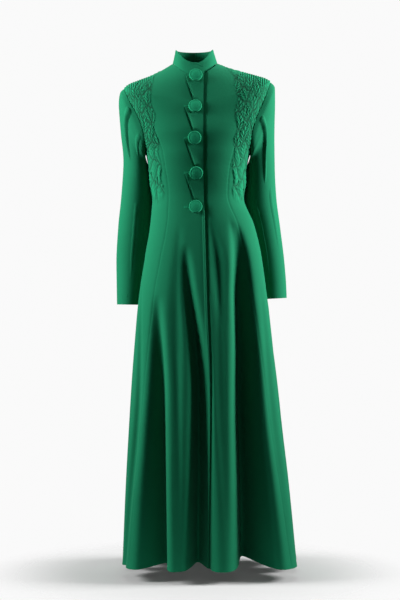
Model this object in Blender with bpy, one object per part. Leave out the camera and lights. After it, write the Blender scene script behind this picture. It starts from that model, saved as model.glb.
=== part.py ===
"""Evening coat: a princess line coat in wool crepe, worn, with a stand collar,
corded shoulders, five covered buttons and four pointed front flaps.

Metres, +Z up. The front looks along -Y, and +X is the wearer's left.
The origin is between the shoulders at the base of the neck.
"""

import bmesh
import bpy
import numpy as np

CLOTH = 0.002          # thickness of the wool
SEAM = 0.0003          # gap between two pieces that are sewn together
LAP = 0.0046           # how far the left front lies under the right front
HEM = -1.423
WAIST = -0.375
ARMPIT = -0.25
TIP = -0.110           # level of the ring through the shoulder tips
PEAK = -0.0705         # level where the princess seams meet the shoulder seam
NECK = -0.034
ARMHOLE_SPREAD = 33.0  # half of the armhole, in degrees round the body
ARMHOLE_TURNS = np.linspace(0, 180, 11)

GREEN = (0.012, 0.115, 0.058, 1.0)
ROUGHNESS = 0.85

# The rings of the body, from the hem to the neck seam, keyed by the height
# of the ring at the centre front.
RING_COLUMNS = ("front_z", "left_z", "right_z", "back_z", "left_x", "right_x",
                "front_y", "back_y", "square")
BODY_RINGS = (
    (-1.423, -1.423, -1.423, -1.423, -0.213, 0.288, -0.215, 0.250, 3.6),
    (-1.200, -1.200, -1.200, -1.200, -0.204, 0.265, -0.198, 0.218, 3.4),
    (-1.000, -1.000, -1.000, -1.000, -0.193, 0.241, -0.178, 0.190, 3.2),
    (-0.800, -0.800, -0.800, -0.800, -0.181, 0.222, -0.158, 0.165, 3.0),
    (-0.674, -0.674, -0.674, -0.674, -0.173, 0.209, -0.145, 0.150, 2.85),
    (-0.560, -0.560, -0.560, -0.560, -0.158, 0.196, -0.130, 0.138, 2.7),
    (-0.460, -0.460, -0.460, -0.460, -0.139, 0.170, -0.113, 0.116, 2.5),
    (-0.375, -0.375, -0.375, -0.375, -0.131, 0.137, -0.098, 0.086, 2.3),
    (-0.300, -0.300, -0.300, -0.300, -0.139, 0.142, -0.109, 0.092, 2.3),
    (-0.250, -0.250, -0.250, -0.250, -0.148, 0.154, -0.120, 0.099, 2.3),
    (-0.205, -0.212, -0.208, -0.195, -0.167, 0.172, -0.122, 0.105, 2.4),
    (-0.150, -0.132, -0.124, -0.125, -0.192, 0.195, -0.107, 0.108, 2.5),
    (-0.127, -0.092, -0.076, -0.098, -0.204, 0.206, -0.100, 0.106, 2.5),
    (-0.110, -0.066, -0.047, -0.080, -0.208, 0.210, -0.094, 0.103, 2.5),
    (-0.099, -0.053, -0.037, -0.066, -0.194, 0.197, -0.090, 0.098, 2.45),
    (-0.088, -0.044, -0.030, -0.052, -0.172, 0.175, -0.086, 0.092, 2.4),
    (-0.068, -0.027, -0.017, -0.028, -0.128, 0.128, -0.079, 0.078, 2.3),
    (-0.050, -0.006, -0.004, -0.006, -0.090, 0.084, -0.073, 0.066, 2.2),
    (-0.034, 0.006, 0.007, 0.0125, -0.0705, 0.0600, -0.0675, 0.0575, 2.1),
)
COLLAR_RINGS = (
    (-0.0335, 0.0065, 0.0075, 0.0130, -0.0705, 0.0600, -0.0675, 0.0575, 2.1),
    (-0.0210, 0.0190, 0.0200, 0.0240, -0.0670, 0.0560, -0.0650, 0.0545, 2.1),
    (0.0020, 0.0460, 0.0475, 0.0465, -0.0613, 0.0470, -0.0570, 0.0480, 2.1),
)

# The folds: the heights where each starts, is deepest and ends, its angle round
# the body high up, in the middle and low down, its depth in metres, its half
# width in degrees, and how far it leans.
FOLDS = {
    "front_deep": (-0.46, -1.42, -2.0, 35, 30.5, 28, 0.150, 9.0, 0.00),
    "front_soft": (-0.42, -0.58, -0.78, 7, 13.0, 16, 0.010, 6.0, 0.0),
    "front_closing": (-0.52, -1.42, -2.0, -17, -4.0, -7, 0.095, 6.5, 0.10),
    "front_right": (-0.66, -1.42, -2.0, -38, -34.5, -35, 0.085, 6.5, -0.15),
    "right_groove": (-0.62, -1.10, -2.0, -60, -52.0, -62, 0.016, 4.5, 0.0),
    "right_arm": (-0.36, -0.56, -0.98, -100, -103.0, -100, 0.034, 24.0, 0.0),
    "left_arm": (-0.36, -0.56, -0.98, 98, 101.0, 100, 0.044, 24.0, 0.0),
    "left_side": (-0.70, -1.42, -2.0, 72, 74.0, 78, 0.040, 8.0, 0.0),
    "right_side": (-0.85, -1.42, -2.0, -92, -90.0, -88, 0.035, 8.0, 0.0),
    "back_left_side": (-0.60, -1.42, -2.0, 118, 117.0, 116, 0.060, 8.0, 0.10),
    "back_right_side": (-0.55, -1.42, -2.0, -120, -118.0, -116, 0.065, 8.0, -0.1),
    "back_left": (-0.50, -1.42, -2.0, 152, 150.0, 146, 0.090, 8.0, 0.15),
    "back_right": (-0.52, -1.42, -2.0, -154, -151.0, -149, 0.085, 8.0, -0.15),
    "back_centre": (-0.72, -1.42, -2.0, 177, 176.0, 175, 0.060, 7.0, 0.0),
}
FOLD_MIDDLE = -0.95
FOLD_GROWTH = 0.85     # below 1, a fold deepens sooner under its start
FOLD_START = 0.6       # a fold's width at its start, as a share of its width
HEM_LIFT = 0.14        # a deep fold lifts the hem by this share of its depth
LIFT_FROM = -0.9
LIFT_RUN = 0.5
SIDE_SLANT = 0.5       # how far folds at the sides point forward or back

# The front closing edge, the end of the underlap and the princess seams.
CLOSING_EDGE = ((-1.423, 0.0315), (-0.93, 0.0370), (-0.674, 0.0280),
                (-0.41, 0.0208), (-0.26, 0.0178), (NECK, 0.0200))
UNDER_EDGE = 0.003     # past the closing edge, where the underlap is level again
UNDER_RUN = 0.013
FRONT_COLUMNS = 13
LAP_COLUMNS = 2        # columns of the left front under the right front
SIDE_COLUMNS = 7
BACK_COLUMNS = 8
SKIRT_ROWS = 13
SKIRT_SPACING = 1.45   # brings the skirt's rows closer below the waist
BODICE_ROWS = 9
SHOULDER_ROWS = 4
NECK_ROWS = 3
FRONT_SEAM = ((-1.423, 52.0), (-0.90, 46.0), (-0.674, 42.0), (-0.375, 37.0),
              (-0.25, 40.0), (-0.15, 42.0), (TIP, 52.0), (-0.088, 68.0),
              (PEAK, 88.5))
BACK_SEAM = ((-1.423, 134.0), (-0.90, 138.0), (-0.674, 141.0), (-0.375, 146.0),
             (-0.25, 142.0), (-0.15, 138.0), (TIP, 128.0), (-0.088, 112.0),
             (PEAK, 91.5))

# The rings of the sleeves: the place next to the body, the outer place,
# half of the depth, and the middle of the depth.
SLEEVE_COLUMNS = ("in_x", "in_z", "out_x", "out_z", "depth", "y")
LEFT_SLEEVE = (
    (0.1545, -0.250, 0.2105, -0.047, 0.062, 0.000),
    (0.1558, -0.262, 0.2230, -0.064, 0.062, 0.002),
    (0.1512, -0.275, 0.2235, -0.110, 0.062, 0.008),
    (0.1437, -0.295, 0.2225, -0.190, 0.060, 0.026),
    (0.1405, -0.335, 0.2240, -0.290, 0.056, 0.038),
    (0.1345, -0.390, 0.2290, -0.375, 0.053, 0.050),
    (0.1540, -0.460, 0.2400, -0.460, 0.050, 0.054),
    (0.1745, -0.560, 0.2525, -0.560, 0.046, 0.056),
    (0.1840, -0.630, 0.2580, -0.630, 0.043, 0.054),
    (0.1880, -0.672, 0.2595, -0.668, 0.044, 0.052),
)
RIGHT_SLEEVE = (
    (0.1485, -0.250, 0.2085, -0.066, 0.062, 0.000),
    (0.1512, -0.262, 0.2200, -0.078, 0.062, 0.002),
    (0.1466, -0.275, 0.2240, -0.110, 0.062, 0.008),
    (0.1407, -0.295, 0.2190, -0.190, 0.060, 0.026),
    (0.1350, -0.335, 0.2120, -0.270, 0.055, 0.038),
    (0.1290, -0.390, 0.2190, -0.375, 0.052, 0.050),
    (0.1330, -0.460, 0.2280, -0.460, 0.050, 0.056),
    (0.1450, -0.560, 0.2335, -0.560, 0.046, 0.058),
    (0.1550, -0.630, 0.2325, -0.630, 0.043, 0.056),
    (0.1620, -0.688, 0.2315, -0.687, 0.044, 0.054),
)
UNDER_SLEEVE = 54.0    # half of the under sleeve, in degrees round the arm
UNDER_COLUMNS = 6
UPPER_COLUMNS = 14
SLEEVE_HEAD_ROWS = 5
SLEEVE_ROWS = 8
SLEEVE_HEAD = 3.2      # rows over which the armhole's shape fades down the sleeve
ARM_RADIUS = 0.05
HEAD_OPEN = 6.0        # how much wider the sleeve's seams are at the armhole
HEAD_OUT = 2.4 * SEAM  # clear of the body's facets all round the armhole

COLLAR_OVER = 0.0212   # x of the collar's end on top, and of its end below
COLLAR_BELOW = -0.0220
COLLAR_COLUMNS = 28
COLLAR_ROWS = 3
COLLAR_TUCK = (-250.0, 60.0)
ROUNDED_FROM = 0.0     # degrees round the collar where its end starts to drop
ROUNDED_RUN = 24.0
ROUNDED_DROP = 0.46

BUTTON_HEIGHTS = (-0.0372, -0.1290, -0.2190, -0.3160, -0.4120)
BUTTON_X = (-0.0035, -0.0050, -0.0064, -0.0020, -0.0034)
BUTTON_RADIUS = 0.0188
BUTTON_THICK = 0.0085
BUTTON_OUT = (0.0027, 0.0025, 0.0025, 0.0026, 0.0030)
BUTTON_PROFILE = ((0.90, 0.0), (1.0, 0.22), (1.0, 0.45), (0.93, 0.72),
                  (0.80, 0.86), (0.45, 0.97))
BUTTON_STEPS = 16
FLAP_LEFT = -0.034     # end of the buttonhole, where a flap starts
FLAP_CLOTH = 0.0014
FLAP_OUT = 0.0007      # clear of the flat facets of the front under it
FLAP_INSET = 0.0012
FLAP_COLUMNS = 5
FLAP_ROWS = 6
FLAP_LOW = 0.004       # a flap ends this far above the middle of a button
FLAP_HIGH = 0.001
NECK_CLEAR = 0.004

CORD_HEIGHT = 0.0022   # how far the corded leaves stand out
CORD_LOW = -0.405
CORD_PITCH = ((CORD_LOW, 0.036), (-0.25, 0.030), (-0.15, 0.024), (PEAK, 0.022))
CORD_SLANT = 0.55
CORD_POINT = 0.08      # height over which the corded shape comes to a point
CORD_EDGE = 0.12
CORD_ROUND = 0.8


def curve(pairs):
    """A monotone cubic through pairs of place and value."""
    places, values = (np.array(side, float) for side in zip(*pairs))
    step = np.diff(places)
    slope = np.diff(values) / step
    bend = np.concatenate((slope[:1], slope[:-1], slope[-1:]))[:len(places)]
    product = slope[:-1] * slope[1:]
    total = slope[:-1] + slope[1:]
    total = np.where(product > 0, total, 1.0)
    bend[1:-1] = np.where(product > 0, 2 * product / total, 0.0)
    bend[-1] = slope[-1]

    def read(at):
        at = np.asarray(at, float)
        row = np.clip(np.searchsorted(places, at) - 1, 0, len(step) - 1)
        part = (at - places[row]) / step[row]
        start = values[row] + part * step[row] * bend[row] * (1 - part) ** 2
        keep = 3 * part ** 2 - 2 * part ** 3
        last = part ** 2 * (part - 1) * step[row] * bend[row + 1]
        return start + keep * (values[row + 1] - values[row]) + last
    return read


def columns(table, names):
    """One curve for each named column of a table, keyed by its first."""
    keys = [row[0] for row in table]
    return {name: curve(list(zip(keys, (row[place] for row in table))))
            for place, name in enumerate(names)}


def ease(part):
    part = np.clip(part, 0.0, 1.0)
    return part * part * (3 - 2 * part)


def unit(vectors):
    return vectors / np.linalg.norm(vectors, axis=-1, keepdims=True)


def ring_point(rings, angle, level):
    """A point of a family of rings: angle 0 is the centre front."""
    sine = np.sin(np.radians(angle))
    cosine = np.cos(np.radians(angle))
    power = rings["square"](level)
    swell = (abs(sine) ** power + abs(cosine) ** power) ** (-1 / power)
    left, right = rings["left_x"](level), rings["right_x"](level)
    x = (left + right) / 2 + (right - left) / 2 * sine * swell
    front = cosine > 0
    depth = np.where(front, -rings["front_y"](level), rings["back_y"](level))
    y = -depth * cosine * swell
    side_z = np.where(sine > 0, rings["right_z"](level), rings["left_z"](level))
    end_z = np.where(front, level, rings["back_z"](level))
    z = side_z + (end_z - side_z) * cosine ** 2
    return np.stack((x, y, z), axis=-1)


BODY = columns(BODY_RINGS, RING_COLUMNS)
COLLAR = columns(COLLAR_RINGS, RING_COLUMNS)


def fold_strength(fold, level):
    top, deepest, end = fold[:3]
    growing = np.clip((top - level) / (top - deepest), 0, 1) ** FOLD_GROWTH
    fading = ease((level - end) / (deepest - end))
    return np.where(level > deepest, growing, fading)


def body_point(angle, level):
    """A point of the coat's outer surface, folds included."""
    angle, level = np.broadcast_arrays(np.asarray(angle, float), level)
    point = ring_point(BODY, angle, level)
    sine, cosine = np.sin(np.radians(angle)), np.cos(np.radians(angle))
    out = unit(np.stack((SIDE_SLANT * sine, -cosine, 0 * sine), axis=-1))
    along = np.stack((-out[..., 1], out[..., 0], 0 * sine), axis=-1)
    for fold in FOLDS.values():
        top, deepest, end, high, middle, low, depth, width, lean = fold
        route = curve(((HEM, low), (FOLD_MIDDLE, middle), (top + 0.001, high)))
        if end > HEM:
            route = curve(((end, low), (deepest, middle), (top, high)))
        near = (angle - route(level) + 180) % 360 - 180
        strength = fold_strength(fold, level)
        spread = width * (FOLD_START + (1 - FOLD_START) * strength)
        push = depth * strength * np.exp(-(near / spread) ** 2)
        point = point - push[..., None] * (out + lean * along)
        point[..., 2] += HEM_LIFT * push * ease((LIFT_FROM - level) / LIFT_RUN)
    return point


def normal_of(surface, across, up):
    """The outward normal of a surface at its two coordinates."""
    small_across, small_up = 0.05, 0.0004
    side = surface(across + small_across, up) - surface(across - small_across, up)
    rise = surface(across, up + small_up) - surface(across, up - small_up)
    return unit(np.cross(side, rise))


def angle_at(surface, x, level):
    """The angle of the front point that has this x on each level."""
    low = np.full(np.shape(level), -80.0)
    high = np.full(np.shape(level), 80.0)
    for _ in range(40):
        middle = (low + high) / 2
        beyond = surface(middle, level)[..., 0] > x
        high = np.where(beyond, middle, high)
        low = np.where(beyond, low, middle)
    return (low + high) / 2


def seam_angle(metres, angle, level):
    """A distance along the ring, as an angle at that place."""
    span = body_point(angle + 0.5, level) - body_point(angle - 0.5, level)
    return metres / np.linalg.norm(span, axis=-1)


def material(name, colour):
    cloth = bpy.data.materials.new(name)
    cloth.use_nodes = True
    shader = cloth.node_tree.nodes["Principled BSDF"]
    shader.inputs["Base Color"].default_value = colour
    shader.inputs["Roughness"].default_value = ROUGHNESS
    return cloth


def keep(name, shape, group, cloth):
    """Puts a finished bmesh in the coat's collection as one named piece."""
    mesh = bpy.data.meshes.new(name)
    shape.to_mesh(mesh)
    shape.free()
    mesh.shade_smooth()
    mesh.materials.append(cloth)
    piece = bpy.data.objects.new(name, mesh)
    group.objects.link(piece)
    return piece


def wall(name, outer, inner, group, cloth):
    """A wall of cloth between two matching nets of points."""
    rows, across = outer.shape[:2]
    shell = bmesh.new()
    bmesh.ops.create_grid(shell, x_segments=across - 1, y_segments=rows - 1)
    place = shell.verts.layers.int.new("place")
    for number, point in enumerate(shell.verts):
        point[place] = number
        point.co = outer.reshape(-1, 3)[number]
    bmesh.ops.triangulate(shell, faces=shell.faces[:], quad_method="FIXED")
    copied = bmesh.ops.extrude_face_region(shell, geom=shell.faces[:])
    for point in copied["geom"]:
        if isinstance(point, bmesh.types.BMVert):
            point.co = inner.reshape(-1, 3)[point[place]]
    bmesh.ops.recalc_face_normals(shell, faces=shell.faces[:])
    bmesh.ops.triangulate(shell, faces=shell.faces[:], quad_method="SHORT_EDGE")
    return keep(name, shell, group, cloth)


def armhole_level(turn):
    """The level of a turn round the armhole: 0 under the arm, 180 on top."""
    return ARMPIT + (TIP - ARMPIT) * (1 - np.cos(np.radians(turn))) / 2


def levels_of_panel(top, cord_rows):
    """Heights of a panel's rows: even in the skirt, closer in the bodice."""
    share = np.linspace(1, 0, SKIRT_ROWS + 1)[:-1]
    skirt = WAIST + (HEM - WAIST) * share ** SKIRT_SPACING
    bodice = np.linspace(WAIST, ARMPIT, BODICE_ROWS + 1)[:-1]
    turns = ARMHOLE_TURNS
    if cord_rows:
        turns = np.linspace(0, 180, 2 * len(ARMHOLE_TURNS) - 1)
    armhole = armhole_level(turns)
    shoulder = np.linspace(TIP, PEAK, SHOULDER_ROWS + 1)[1:]
    neck = np.linspace(PEAK, top, NECK_ROWS + 1)[1:] if top > PEAK else ()
    return np.concatenate((skirt, bodice, armhole, shoulder, neck))


def armhole_spread(level):
    """Half of the armhole, in degrees: nothing at the armpit and at the tip."""
    spread = ARMHOLE_SPREAD * np.sin(np.radians(ARMHOLE_TURNS))
    return np.interp(level, armhole_level(ARMHOLE_TURNS), spread)


def straight_between(levels, seam):
    """A seam that runs straight from each of these levels to the next."""
    angles = seam(levels)
    return lambda level: np.interp(level, levels, angles)


def across(first, last, count):
    """The angles of a net's columns between two edges given as angles."""
    return first[:, None] + (last - first)[:, None] * np.linspace(0, 1, count + 1)


def rows_of(levels, angles):
    return np.repeat(levels[:, None], angles.shape[1], axis=1)


def cord_relief(share, width, level):
    """Height of the corded leaves on a side panel of the bodice."""
    across = (share - 0.5) * width
    along = level - CORD_LOW + CORD_SLANT * abs(across)
    turns = along / curve(CORD_PITCH)(level)
    ribs = (0.5 - 0.5 * np.cos(2 * np.pi * turns)) ** CORD_ROUND
    point = np.clip((level - CORD_LOW) / CORD_POINT, 0, 1)
    edge = ease((0.5 * point - abs(share - 0.5)) / CORD_EDGE)
    return CORD_HEIGHT * ribs * edge


def panel(name, angles, levels, group, cloth, under=None, cord=False):
    """One cut panel of the body, from an edge to the next, round the coat."""
    angles, heights = angles.copy(), rows_of(levels, angles)
    angles[:, 0] += seam_angle(SEAM / 2, angles[:, 0], levels)
    angles[:, -1] -= seam_angle(SEAM / 2, angles[:, -1], levels)
    outer = body_point(angles, heights)
    normals = normal_of(body_point, angles, heights)
    if under is not None:
        outer = outer - under(outer[..., 0], heights)[..., None] * normals
    inner = outer - CLOTH * normals
    if cord:
        share = np.linspace(0, 1, angles.shape[1])[None]
        width = np.linalg.norm(outer[:, -1] - outer[:, 0], axis=-1)[:, None]
        relief = cord_relief(share, width, heights)
        outer = outer + relief[..., None] * normals
    return wall(name, outer, inner, group, cloth)


def closing_x(level):
    return curve(CLOSING_EDGE)(level)


def under_lap(x, level):
    """How far the left front is pressed in under the right front."""
    start = closing_x(level) + UNDER_EDGE + UNDER_RUN
    return LAP * ease((start - x) / UNDER_RUN)


def body_panels(group, cloth):
    """The eight panels of the princess line body."""
    full = levels_of_panel(NECK, False)
    side = levels_of_panel(PEAK, False)
    cord = levels_of_panel(PEAK, True)
    front_seam = straight_between(side, curve(FRONT_SEAM))
    back_seam = straight_between(side, curve(BACK_SEAM))
    edge = angle_at(body_point, closing_x(full), full)
    seam = np.where(full <= PEAK, front_seam(full), 90)
    right = across(-seam, edge, FRONT_COLUMNS)
    left = np.hstack((right[:, -1 - LAP_COLUMNS:-1],
                      across(edge, seam, FRONT_COLUMNS)))
    panel("front_right", right, full, group, cloth)
    panel("front_left", left, full, group, cloth, under=under_lap)
    for wearer, sign in (("right", -1), ("left", 1)):
        hole = armhole_spread(cord)
        edges = [sign * front_seam(cord), sign * (90 - hole)][::sign]
        panel("side_front_" + wearer, across(*edges, SIDE_COLUMNS + 1), cord,
              group, cloth, cord=True)
        hole = armhole_spread(side)
        edges = [sign * (90 + hole), sign * back_seam(side)][::sign]
        panel("side_back_" + wearer, across(*edges, SIDE_COLUMNS), side,
              group, cloth)
        seam = np.where(full <= PEAK, back_seam(full), 90)
        edges = [sign * seam, sign * np.full(len(full), 180.0)][::sign]
        panel("back_" + wearer, across(*edges, BACK_COLUMNS), full, group, cloth)


def armhole_point(sign, turn):
    """The armhole's edge: turn 0 is under the arm and 180 the shoulder tip."""
    level = armhole_level(turn)
    side = np.where(np.sin(np.radians(turn)) >= 0, -1, 1)
    return body_point(sign * (90 + side * armhole_spread(level)), level)


def sleeve_surface(sign, table):
    """The sleeve's outer surface, by the turn round it and the row down it."""
    rows = {name: curve([(place, row[number]) for place, row in enumerate(table)])
            for number, name in enumerate(SLEEVE_COLUMNS)}

    def ring(turn, row):
        inside = np.stack((sign * rows["in_x"](row), rows["y"](row),
                           rows["in_z"](row)), axis=-1)
        outside = np.stack((sign * rows["out_x"](row), rows["y"](row),
                            rows["out_z"](row)), axis=-1)
        middle = (inside + outside) / 2
        angle = np.radians(turn)
        depth = rows["depth"](row) * np.sin(angle)
        forward = np.stack((0 * depth, -depth, 0 * depth), axis=-1)
        return middle + np.cos(angle)[..., None] * (inside - middle) + forward

    def surface(turn, row):
        turn, row = np.broadcast_arrays(np.asarray(turn, float), row)
        point = ring(turn, row)
        start = armhole_point(sign, turn) - ring(turn, 0 * row)
        return point + start * (1 - ease(row / SLEEVE_HEAD))[..., None]
    return surface


def sleeve_piece(name, sign, table, first, last, count, group, cloth):
    surface = sleeve_surface(sign, table)
    end = len(table) - 1.0
    rows = np.concatenate((np.linspace(0, 3, SLEEVE_HEAD_ROWS + 1)[:-1],
                           np.linspace(3, end, SLEEVE_ROWS + 1)))
    turns, places = np.meshgrid(np.linspace(first, last, count + 1), rows)
    gap = np.degrees(SEAM / ARM_RADIUS) * (1 + HEAD_OPEN * np.maximum(1 - places, 0))
    turns = np.clip(turns, first + gap, last - gap)
    outer = surface(turns, places)
    side = surface(turns + 0.5, places) - surface(turns - 0.5, places)
    low, high = np.maximum(places - 0.02, 0), places + 0.02
    down = surface(turns, high) - surface(turns, low)
    normals = unit(np.cross(side, down)) * sign
    hole = armhole_point(sign, ARMHOLE_TURNS[1:-1]).mean(axis=0)
    hole = (hole + armhole_point(sign, -ARMHOLE_TURNS[1:-1]).mean(axis=0)) / 2
    inward = unit(hole - outer[0])
    outward = np.array((sign, 0.0, 0.0))
    normals[0] = normals[1]
    for clear in (outward, inward):
        over = np.maximum((normals[0] * clear).sum(axis=-1, keepdims=True), 0)
        normals[0] = unit(normals[0] - over * clear)
    outer[0] += HEAD_OUT * (outward + inward)
    inner = outer - CLOTH * normals
    return wall(name, outer, inner, group, cloth)


def sleeves(group, cloth):
    for wearer, sign, table in (("right", -1, RIGHT_SLEEVE),
                                ("left", 1, LEFT_SLEEVE)):
        sleeve_piece("sleeve_under_" + wearer, sign, table, -UNDER_SLEEVE,
                     UNDER_SLEEVE, UNDER_COLUMNS, group, cloth)
        sleeve_piece("sleeve_upper_" + wearer, sign, table, UNDER_SLEEVE,
                     360 - UNDER_SLEEVE, UPPER_COLUMNS, group, cloth)


def collar_point(angle, level):
    angle, level = np.broadcast_arrays(np.asarray(angle, float), level)
    return ring_point(COLLAR, angle, level)


def collar(group, cloth):
    """The stand collar: one strip round the neck, its right end on top."""
    bottom, top = COLLAR_RINGS[0][0], COLLAR_RINGS[-1][0]
    heights = np.linspace(bottom, top, COLLAR_ROWS + 1)
    over = angle_at(collar_point, COLLAR_OVER, heights)
    below = angle_at(collar_point, COLLAR_BELOW, heights) - 360
    angles = across(below, over, COLLAR_COLUMNS)
    levels = rows_of(heights, angles)
    rounding = ease((angles - ROUNDED_FROM) / ROUNDED_RUN)
    levels = bottom + (levels - bottom) * (1 - ROUNDED_DROP * rounding ** 2)
    normals = normal_of(collar_point, angles, levels)
    tucked = LAP * ease((COLLAR_TUCK[0] - angles) / COLLAR_TUCK[1])
    outer = collar_point(angles, levels) - tucked[..., None] * normals
    wall("collar", outer, outer - CLOTH * normals, group, cloth)


def flaps(group, cloth):
    """Four pointed flaps on the right front, each from a buttonhole down."""
    for number in range(4):
        high, low = BUTTON_HEIGHTS[number], BUTTON_HEIGHTS[number + 1]
        high = min(high, NECK - NECK_CLEAR)
        heights = np.linspace(low + FLAP_LOW, high - FLAP_HIGH, FLAP_ROWS + 1)
        part = (heights - heights[0]) / (heights[-1] - heights[0])
        left = BUTTON_X[number + 1] + FLAP_CLOTH
        start = left + (FLAP_LEFT - left) * part
        first = angle_at(body_point, start, heights)
        last = angle_at(body_point, closing_x(heights) - FLAP_INSET, heights)
        angles = across(first, last, FLAP_COLUMNS)
        levels = rows_of(heights, angles)
        normals = normal_of(body_point, angles, levels)
        inner = body_point(angles, levels) + FLAP_OUT * normals
        outer = inner + FLAP_CLOTH * normals
        wall("flap_%d" % (number + 1), outer, inner, group, cloth)


def buttons(group, cloth):
    """Domed buttons covered in the coat's own cloth."""
    for number, height in enumerate(BUTTON_HEIGHTS):
        level = np.array(height)
        angle = angle_at(body_point, BUTTON_X[number], level)
        normal = normal_of(body_point, angle, level)
        seat = body_point(angle, level) + BUTTON_OUT[number] * normal
        turn = np.degrees(np.arctan2(normal[0], -normal[1]))
        tilt = np.degrees(np.arctan2(normal[2], -normal[1]))
        shape = bmesh.new()
        edges = []
        points = [shape.verts.new((share * BUTTON_RADIUS, 0, rise * BUTTON_THICK))
                  for share, rise in BUTTON_PROFILE]
        for first, last in zip(points, points[1:]):
            edges.append(shape.edges.new((first, last)))
        bmesh.ops.spin(shape, geom=points + edges, axis=(0, 0, 1),
                       angle=2 * np.pi, steps=BUTTON_STEPS, cent=(0, 0, 0))
        bmesh.ops.remove_doubles(shape, verts=shape.verts[:], dist=0.00001)
        bmesh.ops.holes_fill(shape, edges=shape.edges[:])
        bmesh.ops.recalc_face_normals(shape, faces=shape.faces[:])
        piece = keep("button_%d" % (number + 1), shape, group, cloth)
        piece.rotation_euler = (np.radians(90 - tilt), 0, np.radians(turn))
        piece.location = seat


def main():
    for old in list(bpy.data.objects):
        bpy.data.objects.remove(old)
    group = bpy.data.collections.new("evening_coat")
    bpy.context.scene.collection.children.link(group)
    cloth = material("green_wool", GREEN)
    covered = material("covered_button", GREEN)
    body_panels(group, cloth)
    sleeves(group, cloth)
    collar(group, cloth)
    flaps(group, cloth)
    buttons(group, covered)


main()
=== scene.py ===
# %% [markdown]
# A full-length evening coat in green wool crepe
#
# The real coat is cut from eight body panels, two-piece sleeves and a stand
# collar. Its shoulders carry raised corded leaves, and five covered buttons
# close it, with a pointed flap between each pair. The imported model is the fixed
# frame: it holds the sizes. This script works out the same surfaces from the
# same tables, finer, and adds what makes them look like cloth.

import bpy
import numpy as np
from mathutils import Matrix, Vector


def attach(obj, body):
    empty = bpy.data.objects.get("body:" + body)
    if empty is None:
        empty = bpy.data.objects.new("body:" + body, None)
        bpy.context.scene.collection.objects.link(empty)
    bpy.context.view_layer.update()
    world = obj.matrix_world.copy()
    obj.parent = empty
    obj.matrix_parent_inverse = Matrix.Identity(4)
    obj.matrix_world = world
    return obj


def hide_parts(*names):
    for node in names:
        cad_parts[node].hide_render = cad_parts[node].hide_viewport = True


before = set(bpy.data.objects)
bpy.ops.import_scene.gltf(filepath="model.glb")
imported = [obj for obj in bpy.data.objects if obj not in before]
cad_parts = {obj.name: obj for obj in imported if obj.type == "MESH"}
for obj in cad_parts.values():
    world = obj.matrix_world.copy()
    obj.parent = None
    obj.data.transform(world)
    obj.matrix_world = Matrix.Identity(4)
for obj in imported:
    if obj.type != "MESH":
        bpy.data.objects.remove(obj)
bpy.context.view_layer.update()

print("frame loaded:", len(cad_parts), "nodes")


# %% [markdown]
# The camera
#
# The photo was taken from straight in front, a little above the middle of the
# coat. A long lens from 4.5 m keeps the shoulders and the hem in proportion. The
# camera comes first, because everything else is judged through it.

# %% Place the camera
CAMERA_PLACE = (0.0086, -4.5, -0.674)
CAMERA_LENS = 93.66

bpy.ops.object.select_all(action="DESELECT")
bpy.ops.object.camera_add(location=CAMERA_PLACE, rotation=(np.pi / 2, 0, 0))
camera = bpy.context.object
camera.name = "camera"
camera.data.lens = CAMERA_LENS
bpy.context.scene.camera = camera
print("camera distance:", -CAMERA_PLACE[1], "m")


# %% [markdown]
# Smooth curves through a few sizes
#
# A pattern maker notes a coat at a few heights and draws a smooth line through
# them. A monotone cubic does that without overshooting, so a waist of a given
# width never gets narrower between two notes. Each table below has named
# columns, and one curve is made for each column.

# %% Curves and small helpers
def curve(pairs):
    """A monotone cubic through pairs of place and value."""
    places, values = (np.array(side, float) for side in zip(*pairs))
    step = np.diff(places)
    slope = np.diff(values) / step
    bend = np.concatenate((slope[:1], slope[:-1], slope[-1:]))[:len(places)]
    product = slope[:-1] * slope[1:]
    total = slope[:-1] + slope[1:]
    total = np.where(product > 0, total, 1.0)
    bend[1:-1] = np.where(product > 0, 2 * product / total, 0.0)
    bend[-1] = slope[-1]

    def read(at):
        at = np.asarray(at, float)
        row = np.clip(np.searchsorted(places, at) - 1, 0, len(step) - 1)
        part = (at - places[row]) / step[row]
        start = values[row] + part * step[row] * bend[row] * (1 - part) ** 2
        keep = 3 * part ** 2 - 2 * part ** 3
        last = part ** 2 * (part - 1) * step[row] * bend[row + 1]
        return start + keep * (values[row + 1] - values[row]) + last
    return read


def columns(table, names):
    """One curve for each named column of a table, keyed by its first."""
    keys = [row[0] for row in table]
    return {name: curve(list(zip(keys, (row[place] for row in table))))
            for place, name in enumerate(names)}


def ease(part):
    part = np.clip(part, 0.0, 1.0)
    return part * part * (3 - 2 * part)


def unit(vectors):
    return vectors / np.linalg.norm(vectors, axis=-1, keepdims=True)


def bell(distance, width):
    return np.exp(-(distance / width) ** 2)


print("curve check:", float(curve(((0, 0), (1, 1), (2, 4)))(1.5)))


# %% [markdown]
# The shape of the body
#
# The coat is a stack of rings from the hem to the neck seam. Each ring is a
# rounded square with its own front, back and sides, so the waist can be oval
# and the shoulders wide and flat. The numbers are those of the solids.

# %% The rings of the body
CLOTH = 0.002
SEAM = 0.0003
LAP = 0.0046
HEM = -1.423
WAIST = -0.375
ARMPIT = -0.25
TIP = -0.110
PEAK = -0.0705
NECK = -0.034
ARMHOLE_SPREAD = 33.0

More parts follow.
